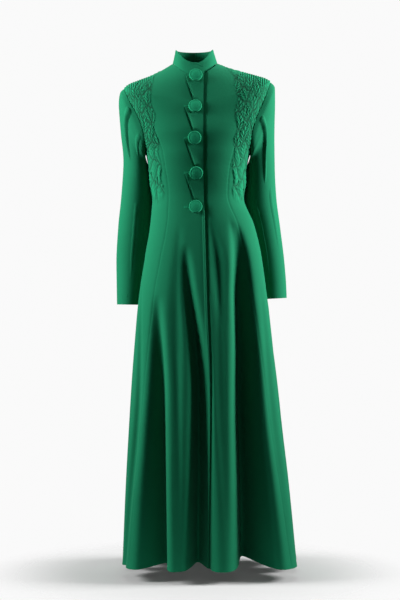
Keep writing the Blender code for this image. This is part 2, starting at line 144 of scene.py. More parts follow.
RING_COLUMNS = ("front_z", "left_z", "right_z", "back_z", "left_x", "right_x",
                "front_y", "back_y", "square")
BODY_RINGS = (
    (-1.423, -1.423, -1.423, -1.423, -0.213, 0.288, -0.215, 0.250, 3.6),
    (-1.200, -1.200, -1.200, -1.200, -0.204, 0.265, -0.198, 0.218, 3.4),
    (-1.000, -1.000, -1.000, -1.000, -0.193, 0.241, -0.178, 0.190, 3.2),
    (-0.800, -0.800, -0.800, -0.800, -0.181, 0.222, -0.158, 0.165, 3.0),
    (-0.674, -0.674, -0.674, -0.674, -0.173, 0.209, -0.145, 0.150, 2.85),
    (-0.560, -0.560, -0.560, -0.560, -0.158, 0.196, -0.130, 0.138, 2.7),
    (-0.460, -0.460, -0.460, -0.460, -0.139, 0.170, -0.113, 0.116, 2.5),
    (-0.375, -0.375, -0.375, -0.375, -0.131, 0.137, -0.098, 0.086, 2.3),
    (-0.300, -0.300, -0.300, -0.300, -0.139, 0.142, -0.109, 0.092, 2.3),
    (-0.250, -0.250, -0.250, -0.250, -0.148, 0.154, -0.120, 0.099, 2.3),
    (-0.205, -0.212, -0.208, -0.195, -0.167, 0.172, -0.122, 0.105, 2.4),
    (-0.150, -0.132, -0.124, -0.125, -0.192, 0.195, -0.107, 0.108, 2.5),
    (-0.127, -0.092, -0.076, -0.098, -0.204, 0.206, -0.100, 0.106, 2.5),
    (-0.110, -0.066, -0.047, -0.080, -0.208, 0.210, -0.094, 0.103, 2.5),
    (-0.099, -0.053, -0.037, -0.066, -0.194, 0.197, -0.090, 0.098, 2.45),
    (-0.088, -0.044, -0.030, -0.052, -0.172, 0.175, -0.086, 0.092, 2.4),
    (-0.068, -0.027, -0.017, -0.028, -0.128, 0.128, -0.079, 0.078, 2.3),
    (-0.050, -0.006, -0.004, -0.006, -0.090, 0.084, -0.073, 0.066, 2.2),
    (-0.034, 0.006, 0.007, 0.0125, -0.0705, 0.0600, -0.0675, 0.0575, 2.1),
)


def ring_point(rings, angle, level):
    """A point of a family of rings: angle 0 is the centre front."""
    sine = np.sin(np.radians(angle))
    cosine = np.cos(np.radians(angle))
    power = rings["square"](level)
    swell = (abs(sine) ** power + abs(cosine) ** power) ** (-1 / power)
    left, right = rings["left_x"](level), rings["right_x"](level)
    x = (left + right) / 2 + (right - left) / 2 * sine * swell
    front = cosine > 0
    depth = np.where(front, -rings["front_y"](level), rings["back_y"](level))
    y = -depth * cosine * swell
    side_z = np.where(sine > 0, rings["right_z"](level), rings["left_z"](level))
    end_z = np.where(front, level, rings["back_z"](level))
    z = side_z + (end_z - side_z) * cosine ** 2
    return np.stack((x, y, z), axis=-1)


BODY = columns(BODY_RINGS, RING_COLUMNS)
print("rings:", len(BODY_RINGS), "hem at", HEM)


# %% [markdown]
# The hanging folds
#
# Below the waist the cloth is wider than the body and falls in long folds. Each
# is a trough that starts soft, deepens on the way down and lifts the hem a
# little. A second table adds the shallow ones, which only show as soft bands of
# light and shade. They are uneven on purpose, as hanging wool is.

# %% Folds of the skirt
FOLDS = {
    "front_deep": (-0.46, -1.42, -2.0, 35, 30.5, 28, 0.150, 9.0, 0.00),
    "front_soft": (-0.42, -0.58, -0.78, 7, 13.0, 16, 0.010, 6.0, 0.0),
    "front_closing": (-0.52, -1.42, -2.0, -17, -4.0, -7, 0.095, 6.5, 0.10),
    "front_right": (-0.66, -1.42, -2.0, -38, -34.5, -35, 0.085, 6.5, -0.15),
    "right_groove": (-0.62, -1.10, -2.0, -60, -52.0, -62, 0.016, 4.5, 0.0),
    "right_arm": (-0.36, -0.56, -0.98, -100, -103.0, -100, 0.034, 24.0, 0.0),
    "left_arm": (-0.36, -0.56, -0.98, 98, 101.0, 100, 0.044, 24.0, 0.0),
    "left_side": (-0.70, -1.42, -2.0, 72, 74.0, 78, 0.040, 8.0, 0.0),
    "right_side": (-0.85, -1.42, -2.0, -92, -90.0, -88, 0.035, 8.0, 0.0),
    "back_left_side": (-0.60, -1.42, -2.0, 118, 117.0, 116, 0.060, 8.0, 0.10),
    "back_right_side": (-0.55, -1.42, -2.0, -120, -118.0, -116, 0.065, 8.0, -0.1),
    "back_left": (-0.50, -1.42, -2.0, 152, 150.0, 146, 0.090, 8.0, 0.15),
    "back_right": (-0.52, -1.42, -2.0, -154, -151.0, -149, 0.085, 8.0, -0.15),
    "back_centre": (-0.72, -1.42, -2.0, 177, 176.0, 175, 0.060, 7.0, 0.0),
}
SOFT_FOLDS = {
    "soft_closing": (-0.50, -0.95, -1.45, 14, 12.0, 11, 0.005, 4.0, 0.0),
    "soft_ridge": (-0.44, -0.64, -0.88, 30, 28.0, 27, 0.009, 4.5, 0.0),
    "soft_left": (-0.62, -1.05, -1.60, 52, 50.0, 50, 0.007, 5.0, 0.0),
    "soft_right": (-0.46, -0.72, -1.10, -24, -22.0, -20, 0.006, 5.0, 0.0),
    "soft_panel": (-0.80, -1.20, -1.90, -22, -20.0, -19, 0.005, 3.5, 0.0),
    "soft_back": (-0.60, -1.00, -1.60, 166, 165.0, 162, 0.008, 5.0, 0.0),
    "soft_back_right": (-0.58, -1.00, -1.60, -138, -137.0, -134, 0.007, 5.0, 0.0),
    "waist_left": (-0.33, -0.385, -0.43, 62, 60.0, 60, 0.0022, 16.0, 0.0),
    "waist_right": (-0.33, -0.388, -0.43, -60, -62.0, -62, 0.0022, 16.0, 0.0),
}
FOLD_MIDDLE = -0.95
FOLD_GROWTH = 0.85
FOLD_START = 0.6
HEM_LIFT = 0.14
LIFT_FROM = -0.9
LIFT_RUN = 0.5
SIDE_SLANT = 0.5


def fold_strength(fold, level):
    top, deepest, end = fold[:3]
    growing = np.clip((top - level) / (top - deepest), 0, 1) ** FOLD_GROWTH
    fading = ease((level - end) / (deepest - end))
    return np.where(level > deepest, growing, fading)


def body_point(angle, level):
    """A point of the coat's outer surface, folds included."""
    angle, level = np.broadcast_arrays(np.asarray(angle, float), level)
    point = ring_point(BODY, angle, level)
    sine, cosine = np.sin(np.radians(angle)), np.cos(np.radians(angle))
    out = unit(np.stack((SIDE_SLANT * sine, -cosine, 0 * sine), axis=-1))
    along = np.stack((-out[..., 1], out[..., 0], 0 * sine), axis=-1)
    for fold in (*FOLDS.values(), *SOFT_FOLDS.values()):
        top, deepest, end, high, middle, low, depth, width, lean = fold
        route = curve(((HEM, low), (FOLD_MIDDLE, middle), (top + 0.001, high)))
        if end > HEM:
            route = curve(((end, low), (deepest, middle), (top, high)))
        near = (angle - route(level) + 180) % 360 - 180
        strength = fold_strength(fold, level)
        spread = width * (FOLD_START + (1 - FOLD_START) * strength)
        push = depth * strength * bell(near, spread)
        point = point - push[..., None] * (out + lean * along)
        point[..., 2] += HEM_LIFT * push * ease((LIFT_FROM - level) / LIFT_RUN)
    return point


print("folds:", len(FOLDS), "large,", len(SOFT_FOLDS), "soft")


# %% [markdown]
# Moving about on the surface
#
# To put a seam, a cord or a button on a curved surface, three things are needed:
# which way is out, which angle has a given x, and how far a point is from the
# centre front, measured along the cloth as with a tape.

# %% Normals, angles and the tape measure
TAPE_ANGLES = np.linspace(0, 180, 181)


def normal_of(surface, across, up):
    """The outward normal of a surface at its two coordinates."""
    small_across, small_up = 0.05, 0.0004
    side = surface(across + small_across, up) - surface(across - small_across, up)
    rise = surface(across, up + small_up) - surface(across, up - small_up)
    return unit(np.cross(side, rise))


def angle_at(surface, x, level):
    """The angle of the front point that has this x on each level."""
    low = np.full(np.shape(level), -80.0)
    high = np.full(np.shape(level), 80.0)
    for _ in range(40):
        middle = (low + high) / 2
        beyond = surface(middle, level)[..., 0] > x
        high = np.where(beyond, middle, high)
        low = np.where(beyond, low, middle)
    return (low + high) / 2


def seam_angle(metres, angle, level):
    """A distance along the ring, as an angle at that place."""
    span = body_point(angle + 0.5, level) - body_point(angle - 0.5, level)
    return metres / np.linalg.norm(span, axis=-1)


def tape(angle, level):
    """Metres along each ring from the centre front, by row of a net."""
    found = np.empty(np.shape(angle))
    for row, height in enumerate(level):
        sign = np.sign(np.mean(angle[row]))
        ring = ring_point(BODY, sign * TAPE_ANGLES, np.full(181, height))
        steps = np.linalg.norm(np.diff(ring, axis=0), axis=-1)
        run = np.concatenate(((0,), np.cumsum(steps)))
        found[row] = np.interp(sign * angle[row], TAPE_ANGLES, run)
    return found


print("half of the waist:", tape(np.array([[180.0]]), np.array([WAIST])).round(3))


# %% [markdown]
# Wool crepe
#
# Crepe yarns are twisted hard, so the cloth has a fine dry pebble instead of a
# shine, and its short fibres catch light at grazing angles. The pebble is a
# small bump in the cloth's own coordinates, the fibres are sheen, and the dye
# is a little uneven. An attribute on the mesh carries painted light: above zero
# it paints shade into the stitch lines, the valleys between cords and the dip
# beside each flap, and below zero it paints a paler highlight on the puffs
# between two stitch lines.

# %% The cloth material
GREEN = (0.0046, 0.172, 0.079, 1.0)
DEEP_GREEN = (0.0036, 0.146, 0.066, 1.0)
PAINTED_SHADE_GREEN = (0.0018, 0.034, 0.016, 1.0)
# The buttons and the buttonhole lips take a paler copy of the same green: a painted
# highlight for the light that their domed faces catch.
BUTTON_PAINTED_HIGHLIGHT_GREEN = (0.0072, 0.270, 0.126, 1.0)
BUTTON_PAINTED_HIGHLIGHT_DEEP = (0.0064, 0.240, 0.110, 1.0)
CREPE_LOOK = {"Roughness": 0.92, "Specular IOR Level": 0.13, "Sheen Weight": 0.08,
              "Sheen Roughness": 0.42, "Sheen Tint": (0.25, 1.0, 0.68, 1.0)}
CREPE_GRAINS = 900.0
CREPE_DEPTH = 0.00022
DYE_PATCHES = 9.0
NAP_PATCHES = 60.0
NAP_DEPTH = 0.0009


def fill(node, values):
    """Sets the named inputs of a node."""
    for name, value in values.items():
        node.inputs[name].default_value = value


def noise(tree, scale, detail, places):
    """A noise texture, read at the places that another node gives."""
    texture = tree.nodes.new("ShaderNodeTexNoise")
    fill(texture, {"Scale": scale, "Detail": detail})
    tree.links.new(places, texture.inputs["Vector"])
    return texture


def bump(tree, strength, depth, texture):
    """A bump of a given depth, raised by a texture."""
    relief = tree.nodes.new("ShaderNodeBump")
    fill(relief, {"Strength": strength, "Distance": depth})
    tree.links.new(texture.outputs["Fac"], relief.inputs["Height"])
    return relief


def wool(name, deep, pale):
    """A matte crepe: uneven dye, fine pebble, soft nap and sheen."""
    cloth = bpy.data.materials.new(name)
    cloth.use_nodes = True
    tree = cloth.node_tree
    nodes, links = tree.nodes, tree.links
    shader = nodes["Principled BSDF"]
    fill(shader, CREPE_LOOK)
    places = nodes.new("ShaderNodeTexCoord")
    grain_map = nodes.new("ShaderNodeUVMap")
    grain_map.uv_map = "grain"

    dye = noise(tree, DYE_PATCHES, 4.0, places.outputs["Object"])
    tone = nodes.new("ShaderNodeMix")
    tone.data_type = "RGBA"
    fill(tone, {"A": deep, "B": pale})
    links.new(dye.outputs["Fac"], tone.inputs["Factor"])

    # Painted shade and highlight: the attribute darkens the cloth towards a deep
    # green where shade would fall, and below zero makes it paler on the puffs.
    painted_light_values = nodes.new("ShaderNodeAttribute")
    painted_light_values.attribute_name = "painted_shade_and_highlight"
    painted_shading = nodes.new("ShaderNodeMix")
    painted_shading.data_type = "RGBA"
    painted_shading.clamp_factor = False
    painted_shading.inputs["B"].default_value = PAINTED_SHADE_GREEN
    links.new(painted_light_values.outputs["Fac"], painted_shading.inputs["Factor"])
    links.new(tone.outputs["Result"], painted_shading.inputs["A"])
    links.new(painted_shading.outputs["Result"], shader.inputs["Base Color"])

    nap = noise(tree, NAP_PATCHES, 2.0, places.outputs["Object"])
    soft = bump(tree, 0.25, NAP_DEPTH, nap)
    pebble = noise(tree, CREPE_GRAINS, 3.0, grain_map.outputs["UV"])
    pebble.inputs["Distortion"].default_value = 0.8
    fine = bump(tree, 0.5, CREPE_DEPTH, pebble)
    links.new(soft.outputs["Normal"], fine.inputs["Normal"])
    links.new(fine.outputs["Normal"], shader.inputs["Normal"])
    return cloth


WOOL = wool("wool_crepe", DEEP_GREEN, GREEN)
PAINTED_HIGHLIGHT_WOOL = wool("button_crepe", BUTTON_PAINTED_HIGHLIGHT_DEEP, BUTTON_PAINTED_HIGHLIGHT_GREEN)
print("materials:", WOOL.name, PAINTED_HIGHLIGHT_WOOL.name)


# %% [markdown]
# A wall of cloth
#
# A piece of cloth is two matching nets of points, the face and the back, closed
# by a rim all round. Building the faces from the net's own numbering keeps them
# in order, and it gives the piece a flat map in metres, so the pebble keeps its
# size on every panel.

# %% Build and finish a piece
MADE = {}
SMOOTH_BELOW = np.radians(55)


def lengths_along(net, axis):
    steps = np.linalg.norm(np.diff(net, axis=axis), axis=-1)
    start = np.zeros_like(np.take(steps, [0], axis=axis))
    return np.cumsum(np.concatenate((start, steps), axis=axis), axis=axis)


def finish_piece(name, mesh, material, slot, *nodes):
    """Smooths a mesh, and ties it to the frame as one named piece."""
    piece = bpy.data.objects.new(name, mesh)
    bpy.context.scene.collection.objects.link(piece)
    piece.data.materials.clear()
    piece.data.materials.append(material)
    bpy.ops.object.select_all(action="DESELECT")
    piece.select_set(True)
    bpy.context.view_layer.objects.active = piece
    bpy.ops.object.shade_smooth_by_angle(angle=SMOOTH_BELOW)
    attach(piece, "root")
    if nodes:
        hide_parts(*nodes)
    MADE[name] = piece
    return piece


def cloth_mesh(name, outer, inner, painted_shade_and_highlight=None):
    """The closed mesh between two nets, with its flat map."""
    rows, across = outer.shape[:2]
    count = rows * across
    grid = np.arange(count).reshape(rows, across)
    face = np.stack((grid[:-1, :-1], grid[:-1, 1:], grid[1:, 1:], grid[1:, :-1]),
                    axis=-1).reshape(-1, 4)
    rim = np.concatenate((grid[0], grid[1:, -1], grid[-1, -2::-1], grid[-2:0:-1, 0]))
    after = np.roll(rim, -1)
    edge = np.stack((after, rim, rim + count, after + count), axis=-1)
    faces = np.vstack((face, face[:, ::-1] + count, edge))
    side = outer[:-1, 1:] - outer[:-1, :-1]
    rise = outer[1:, :-1] - outer[:-1, :-1]
    out = (outer - inner)[:-1, :-1]
    if (np.cross(side, rise) * out).sum() < 0:
        faces = faces[:, ::-1]
    mesh = bpy.data.meshes.new(name)
    points = np.concatenate((outer.reshape(-1, 3), inner.reshape(-1, 3)))
    mesh.from_pydata(points.tolist(), [], faces.tolist())
    flat = np.stack((lengths_along(outer, 1), lengths_along(outer, 0)), axis=-1)
    flat = np.tile(flat.reshape(-1, 2), (2, 1))
    layer = mesh.uv_layers.new(name="grain")
    layer.data.foreach_set("uv", flat[faces.reshape(-1)].reshape(-1))
    # The face carries the painted shade and highlight; the back carries none.
    painted_shading = np.zeros(count) if painted_shade_and_highlight is None else painted_shade_and_highlight.reshape(-1)
    marks = mesh.attributes.new("painted_shade_and_highlight", "FLOAT", "POINT")
    marks.data.foreach_set("value", np.concatenate((painted_shading, 0 * painted_shading)))
    return mesh


def cloth_piece(name, outer, inner, node, painted_shade_and_highlight=None):
    """One piece of cloth, with a flat map in metres."""
    mesh = cloth_mesh(name, outer, inner, painted_shade_and_highlight)
    piece = finish_piece(name, mesh, WOOL, "green_wool", node)
    return piece


# %% [markdown]
# Corded leaves
#
# On the real coat, cords are laid under the cloth and stitched down on both
# sides, so each stands up as a soft rib. From the shoulder seam they run close
# together, and lower they open into leaves with a middle vein and side veins.
# The leaves here are a general pattern: columns of pointed leaves, each with
# slanting veins whose distance grows on the way down. Height, shade painted into
# the stitch lines and the valleys between cords, and a highlight painted on the
# puffs come from one function, so all of them agree.

# %% The pattern of the cords
CORD_PITCH = ((-0.43, 0.017), (-0.30, 0.0125), (-0.22, 0.0095), (-0.14, 0.0080),
              (-0.06, 0.0072))
LEAF_HEIGHT = ((-0.43, 0.062), (-0.28, 0.056), (-0.20, 0.047), (-0.12, 0.040),
               (-0.06, 0.036))
LEAF_WIDTH = ((-0.43, 0.034), (-0.30, 0.029), (-0.20, 0.025), (-0.06, 0.021))
CORD_RISE = ((-0.43, 0.0042), (-0.30, 0.0040), (-0.20, 0.0028), (-0.06, 0.0019))
VEINS_SHOWN = ((-0.43, 0.30), (-0.30, 0.35), (-0.24, 0.65), (-0.18, 1.0),
               (-0.06, 1.0))
LEAF_SWAY = 0.0045
SWAY_LONG = 0.117
SWAY_SHORT = 0.051
CORD_WAVE = 0.006
CORD_WAVE_RUN = 0.061
LEAF_FULL = 0.56
VEIN_SLANT = 1.05
STITCH_WIDE = 0.0017
VEIN_STITCH = 0.0012
VEIN_WIDE = 0.0022
SHOULDER_RIB = 0.0062
RIBS_ANGLE = 54.0
RIBS_LEVEL = -0.122
UNDER_ARM_ANGLE = 66.0
UNDER_ARM_RUN = 0.035
CORDED_EDGE = {
    -1: ((-0.43, 0.092), (-0.30, 0.107), (-0.21, 0.117), (-0.14, 0.125),
         (-0.09, 0.134), (-0.06, 0.140)),
    1: ((-0.43, 0.104), (-0.30, 0.101), (-0.21, 0.105), (-0.14, 0.107),
        (-0.09, 0.110), (-0.06, 0.112)),
}
CORDED_POINT = 0.128
CORDED_LOW = -0.402
CORDED_RAKE = 0.55
BACK_LOW = -0.185
PUFF_HIGHLIGHT = 0.95
PUFF_ROUND = 0.0075
COUNTED = np.linspace(-0.45, 0.02, 800)


def turns_up(table, level):
    """How many repeats of a growing length lie below each level."""
    steps = np.diff(COUNTED, prepend=COUNTED[0])
    return np.interp(level, COUNTED, np.cumsum(steps / curve(table)(COUNTED)))


def wave(turns, roundness):
    """Ridges one turn apart: broad tops and narrow valleys."""
    return (0.5 - 0.5 * np.cos(2 * np.pi * turns)) ** roundness


def corded(sign, angle, level, point):
    """Height of the cords, where they lie, and painted shade and highlight."""
    from_front = tape(angle, level[:, 0])
    width = curve(LEAF_WIDTH)(level)
    sway = LEAF_SWAY * (np.sin(2 * np.pi * level / SWAY_LONG + sign)
                        + 0.6 * np.sin(2 * np.pi * level / SWAY_SHORT + 2 * sign))
    column = (from_front - CORDED_POINT + sway) / width
    leaf = np.floor(column)
    aside = column - leaf - 0.5
    raised = level + CORD_WAVE * np.sin(2 * np.pi * from_front / CORD_WAVE_RUN + sign)
    grown = turns_up(LEAF_HEIGHT, raised) + 0.5 * (leaf % 2)
    grown = grown + 0.13 * np.sin(2.3 * leaf)
    reach = LEAF_FULL * abs(np.sin(np.pi * grown)) ** 0.6
    outline = (reach - abs(aside)) * width
    turns = turns_up(CORD_PITCH, raised)
    turns = turns - VEIN_SLANT * abs(aside) * width / curve(CORD_PITCH)(level)
    turns = turns + 0.37 * leaf
    shown = curve(VEINS_SHOWN)(level)
    veins = 1 - shown * (1 - wave(turns, 0.5))
    middle = aside * width
    # Painted shade along the stitch lines.
    painted_shading = np.maximum(bell(outline, STITCH_WIDE), bell(middle, VEIN_STITCH) * shown)
    uneven = 0.84 + 0.16 * np.sin(3.1 * leaf + 2.3 * np.floor(grown))
    softness = 2.2 * STITCH_WIDE + PUFF_ROUND * (1 - shown)
    leaves = veins * (1 - 0.9 * bell(outline, softness)) * uneven
    leaves = leaves * (1 - 0.6 * bell(middle, VEIN_WIDE) * shown)
    ribs = wave(point[..., 0] / SHOULDER_RIB, 0.6)
    to_top = ease((abs(angle) - RIBS_ANGLE) / 10) * ease((level - RIBS_LEVEL) / 0.014)
    relief = leaves * (1 - to_top) + ribs * to_top
    edge = curve(CORDED_EDGE[sign])(level) + 0.004 * np.sin(level / 0.011)
    inside = ease((from_front - edge) / 0.006)
    low = CORDED_LOW + CORDED_RAKE * abs(from_front - CORDED_POINT)
    inside = inside * ease((level - low) / 0.016)
    behind = ease((level - BACK_LOW - 0.6 * (abs(angle) - 90) / 90) / 0.012)
    inside = inside * np.where(abs(angle) > 90, behind, 1)
    under_arm = bell(level - ARMPIT + 0.02, UNDER_ARM_RUN)
    under_arm = under_arm * ease((abs(angle) - UNDER_ARM_ANGLE) / 10)
    height = curve(CORD_RISE)(level) * relief * inside * (1 - 0.9 * under_arm)
    # Painted shade: the stitch lines, the valleys between veins and the valleys
    # between the shoulder ribs are made darker.
    painted_shade = np.maximum(painted_shading, 0.85 * (1 - wave(turns, 0.5)) ** 2 * shown)
    painted_shade = painted_shade * (1 - to_top) + 0.8 * (1 - ribs) ** 2 * to_top
    # Painted highlight: the tops of the puffs are made paler.
    pale = PUFF_HIGHLIGHT * relief ** 2 * (1 - painted_shade)
    return height, inside, inside * (painted_shade - pale)


print("turns of the cords from waist to shoulder:",
      round(float(turns_up(CORD_PITCH, PEAK) - turns_up(CORD_PITCH, WAIST)), 1))


# %% [markdown]
# The eight panels
#
# A princess line coat has no waist seam: each panel runs from the hem to the
# shoulder, and the shape comes from its curved edges. Neighbouring panels use
# the same curve for their shared edge. A pressed seam sinks a little and puckers
# slightly, so the face dips over the last few millimetres, and the dips of two
# neighbours meet in a soft line. The right front is also drawn in beside the
# free edge of each flap, with shade painted into that dip, and its own edge is
# thicker below the last button.

# %% Seams, rows, flaps and the closing edge
CLOSING_EDGE = ((-1.423, 0.0315), (-0.93, 0.0370), (-0.674, 0.0280),
                (-0.41, 0.0208), (-0.26, 0.0178), (NECK, 0.0200))
FRONT_SEAM = ((-1.423, 52.0), (-0.90, 46.0), (-0.674, 42.0), (-0.375, 37.0),
              (-0.25, 40.0), (-0.15, 42.0), (TIP, 52.0), (-0.088, 68.0),
              (PEAK, 88.5))
BACK_SEAM = ((-1.423, 134.0), (-0.90, 138.0), (-0.674, 141.0), (-0.375, 146.0),
             (-0.25, 142.0), (-0.15, 138.0), (TIP, 128.0), (-0.088, 112.0),
             (PEAK, 91.5))
UNDERLAP = 0.020
UNDER_EDGE = 0.0015
UNDER_RUN = 0.010
SEAM_SINK = 0.0005
SEAM_RUN = 0.005
PUCKER = 0.00012
PUCKER_PITCH = 0.017
HEM_ROLL = 0.0012
HEM_ROLL_RUN = 0.005
EDGE_THICK = 0.0013
EDGE_WIDTH = 0.0075
EDGE_STEP = 0.003
EDGE_ROUND = 0.0016
CORD_SEAM = 0.0012
SKIRT_ROWS = 112
BUTTON_HEIGHTS = (-0.0372, -0.1290, -0.2190, -0.3160, -0.4120)
BUTTON_X = (-0.0035, -0.0050, -0.0064, -0.0020, -0.0034)
FLAP_LEFT = -0.034
FLAP_CLOTH = 0.0014
FLAP_LOW = 0.004
FLAP_HIGH = 0.001
NECK_CLEAR = 0.004
FLAP_LIFT = (0.0030, 0.0060, 0.0070, 0.0036)
FLAP_SWELL = 0.8
BUTTON_RADIUS = 0.0188
FLAP_GROOVE = 0.55
GROOVE_WIDTH = 0.0042
GROOVE_UNDER = 0.02


def panel_levels(top, bodice_rows, shoulder_rows, neck_rows):
    """Heights of a panel's rows, from the hem up."""
    skirt = np.linspace(HEM, WAIST, SKIRT_ROWS + 1)[:-1]
    bodice = np.linspace(WAIST, TIP, bodice_rows + 1)[:-1]
    shoulder = np.linspace(TIP, PEAK, shoulder_rows + 1)
    neck = np.linspace(PEAK, top, neck_rows + 1)[1:] if top > PEAK else ()
    return np.concatenate((skirt, bodice, shoulder, neck))


def armhole_turn(level):
    share = np.clip((level - ARMPIT) / (TIP - ARMPIT), 0, 1)
    return np.degrees(np.arccos(1 - 2 * share))


def armhole_level(turn):
    """The level of a turn round the armhole: 0 under the arm, 180 on top."""
    return ARMPIT + (TIP - ARMPIT) * (1 - np.cos(np.radians(turn))) / 2


def armhole_spread(level):
    return ARMHOLE_SPREAD * np.sin(np.radians(armhole_turn(level)))


def across(first, last, count):
    """The angles of a net's columns between two edges given as angles."""
    return first[:, None] + (last - first)[:, None] * np.linspace(0, 1, count + 1)


def closing_x(level):
    return curve(CLOSING_EDGE)(level)


def under_lap(x, level):
    """How far the left front is pressed in under the right front."""
    start = closing_x(level) + UNDER_EDGE + UNDER_RUN
    return LAP * ease((start - x) / UNDER_RUN)


def seam_dip(from_edge, level):
    """How far a pressed seam sinks and puckers, by the distance to it."""
    sink = SEAM_SINK * ease(1 - from_edge / SEAM_RUN)
    fading = ease(1 - from_edge / (4 * SEAM_RUN))
    pucker = np.sin(2 * np.pi * level / PUCKER_PITCH + 5 * np.sin(level * 40))
    return sink + PUCKER * fading * pucker


def flap_edge(number, level):
    """The free edge of a flap: its share of the height, and its x."""
    high = min(BUTTON_HEIGHTS[number], NECK - NECK_CLEAR) - FLAP_HIGH
    low = BUTTON_HEIGHTS[number + 1] + FLAP_LOW
    part = (level - low) / (high - low)
    left = BUTTON_X[number + 1] + FLAP_CLOTH
    return part, left + (FLAP_LEFT - left) * part, low, high


def flap_swell(part):
    """How strongly a flap's edge stands off, by its share of the height."""
    return np.sin(np.pi * np.clip(part, 0, 1) ** FLAP_SWELL) ** FLAP_SWELL


def flap_groove(x, level):
    """How far the front is pulled in beside the free edge of each flap."""
    depth = np.zeros(x.shape)
    for number, lift in enumerate(FLAP_LIFT):
        part, edge = flap_edge(number, level)[:2]
        near = (1 - ease((edge - x) / GROOVE_WIDTH)) * (x < edge + GROOVE_UNDER)
        depth = depth + FLAP_GROOVE * lift * flap_swell(part) * near
    return depth


def panel(wearer_part, angles, levels, sign=0, under=False, closing=False):
    """One cut panel of the body, from an edge to the next, round the coat."""
    angles = angles.copy()
    angles[:, 0] += seam_angle(SEAM / 2, angles[:, 0], levels)
    angles[:, -1] -= seam_angle(SEAM / 2, angles[:, -1], levels)
    heights = np.repeat(levels[:, None], angles.shape[1], axis=1)
    outer = body_point(angles, heights)
    normals = normal_of(body_point, angles, heights)
    if under:
        outer = outer - under_lap(outer[..., 0], heights)[..., None] * normals
    inner = outer - CLOTH * normals
    run = lengths_along(outer, 1)
    to_first, to_last = run, run[:, -1:] - run
    dips = seam_dip(to_last, heights) * (not closing)
    dips = dips + seam_dip(to_first, heights) * (not under)
    painted_shade_and_highlight, raised = np.zeros(heights.shape), np.zeros(heights.shape)
    if sign:
        cords, covered, painted_shade_and_highlight = corded(sign, angles, heights, outer)
        raised = cords * ease(np.minimum(to_first, to_last) / CORD_SEAM)
        dips = dips * (1 - covered)
    raised = raised - dips
    if closing:
        groove = flap_groove(outer[..., 0], heights)
        raised = raised - groove
        # Painted shade: the dip beside each flap's free edge is made darker, as deep
        # as the dip.
        painted_shade_and_highlight = painted_shade_and_highlight + groove / FLAP_LIFT[2]
        band = ease((EDGE_WIDTH - to_last) / EDGE_STEP)
        band = band * ease(to_last / EDGE_ROUND + 0.35)
        band = band * ease((BUTTON_HEIGHTS[-1] - heights) / 0.01)
        raised = raised + EDGE_THICK * band
    raised = raised + HEM_ROLL * bell(heights - HEM - 0.004, HEM_ROLL_RUN)
    outer = outer + raised[..., None] * normals
    cloth_piece("cloth_" + wearer_part, outer, inner, wearer_part,
                painted_shade_and_highlight=painted_shade_and_highlight)


print("armhole turns at the armpit and tip:", armhole_turn(ARMPIT), armhole_turn(TIP))


# %% Cut and hang the panels
full = panel_levels(NECK, 190, 50, 20)
side = panel_levels(PEAK, 190, 50, 0)
plain = panel_levels(NECK, 70, 26, 16)
front_seam, back_seam = curve(FRONT_SEAM), curve(BACK_SEAM)
edge = angle_at(body_point, closing_x(full), full)
lap_start = angle_at(body_point, closing_x(full) - UNDERLAP, full)
front_edge = np.where(full <= PEAK, front_seam(full), 90)
back_edge = np.where(plain <= PEAK, back_seam(plain), 90)
panel("front_right", across(-front_edge, edge, 84), full, sign=-1, closing=True)
panel("front_left", across(lap_start, front_edge, 84), full, sign=1, under=True)
for wearer, sign in (("right", -1), ("left", 1)):
    hole = armhole_spread(side)
    ends = [sign * front_seam(side), sign * (90 - hole)][::sign]
    panel("side_front_" + wearer, across(*ends, 90), side, sign=sign)
    ends = [sign * (90 + hole), sign * back_seam(side)][::sign]
    panel("side_back_" + wearer, across(*ends, 44), side, sign=sign)
    ends = [sign * back_edge, np.full(len(plain), sign * 180.0)][::sign]
    panel("back_" + wearer, across(*ends, 40), plain)


# %% [markdown]
# The sleeves
#
# Each sleeve has an upper and an under piece. Its rings run from the armhole to
# the cuff and lean with the arm, and the armhole's own shape fades out over the
# first few rings. Long soft folds fall from the sleeve head, the elbow has a few
# slack creases, and the cuff is turned up, with small tucks above its edge.

# %% Rings and folds of the sleeves
SLEEVE_COLUMNS = ("in_x", "in_z", "out_x", "out_z", "depth", "y")
LEFT_SLEEVE = (
    (0.1545, -0.250, 0.2105, -0.047, 0.062, 0.000),
    (0.1558, -0.262, 0.2230, -0.064, 0.062, 0.002),
    (0.1512, -0.275, 0.2235, -0.110, 0.062, 0.008),
    (0.1437, -0.295, 0.2225, -0.190, 0.060, 0.026),
    (0.1405, -0.335, 0.2240, -0.290, 0.056, 0.038),
    (0.1345, -0.390, 0.2290, -0.375, 0.053, 0.050),
    (0.1540, -0.460, 0.2400, -0.460, 0.050, 0.054),
    (0.1745, -0.560, 0.2525, -0.560, 0.046, 0.056),
    (0.1840, -0.630, 0.2580, -0.630, 0.043, 0.054),
    (0.1880, -0.672, 0.2595, -0.668, 0.044, 0.052),
)
RIGHT_SLEEVE = (
    (0.1485, -0.250, 0.2085, -0.066, 0.062, 0.000),
    (0.1512, -0.262, 0.2200, -0.078, 0.062, 0.002),
    (0.1466, -0.275, 0.2240, -0.110, 0.062, 0.008),
    (0.1407, -0.295, 0.2190, -0.190, 0.060, 0.026),
    (0.1350, -0.335, 0.2120, -0.270, 0.055, 0.038),
    (0.1290, -0.390, 0.2190, -0.375, 0.052, 0.050),
    (0.1330, -0.460, 0.2280, -0.460, 0.050, 0.056),
    (0.1450, -0.560, 0.2335, -0.560, 0.046, 0.058),
    (0.1550, -0.630, 0.2325, -0.630, 0.043, 0.056),
    (0.1620, -0.688, 0.2315, -0.687, 0.044, 0.054),
)
